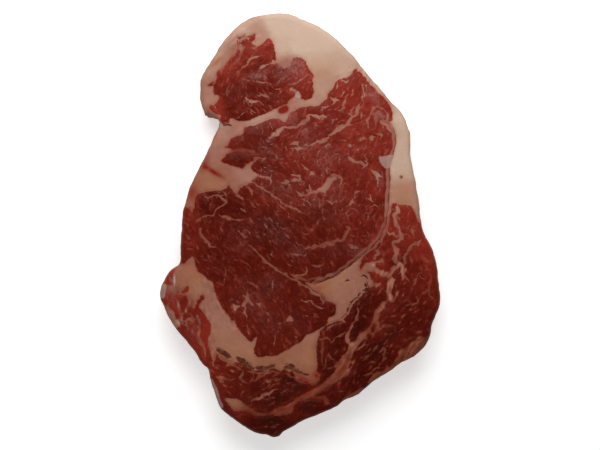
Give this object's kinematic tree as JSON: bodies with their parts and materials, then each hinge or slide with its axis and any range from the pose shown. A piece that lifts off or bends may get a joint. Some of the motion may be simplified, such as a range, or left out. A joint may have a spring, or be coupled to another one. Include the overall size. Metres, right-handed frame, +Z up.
{
  "type": "raw ribeye steak",
  "caption": "Boneless raw ribeye steak: a thick marbled slab of red beef with a pale fat cap, seams of fat between its muscles and rounded edges, lying flat.",
  "frame": {"origin": "centre of the steak's box, on the surface it lies on", "axes": "+Y along the steak's longest side towards the thick fat cap, +X across it, +Z up through its thickness"},
  "size_m": [0.14, 0.211, 0.022],
  "materials": {
    "raw_meat": "moist raw beef, dark red lean with pale pinkish fat"
  },
  "bodies": {
    "root": {"ribeye_steak": "raw_meat"}
  },
  "joints": []
}
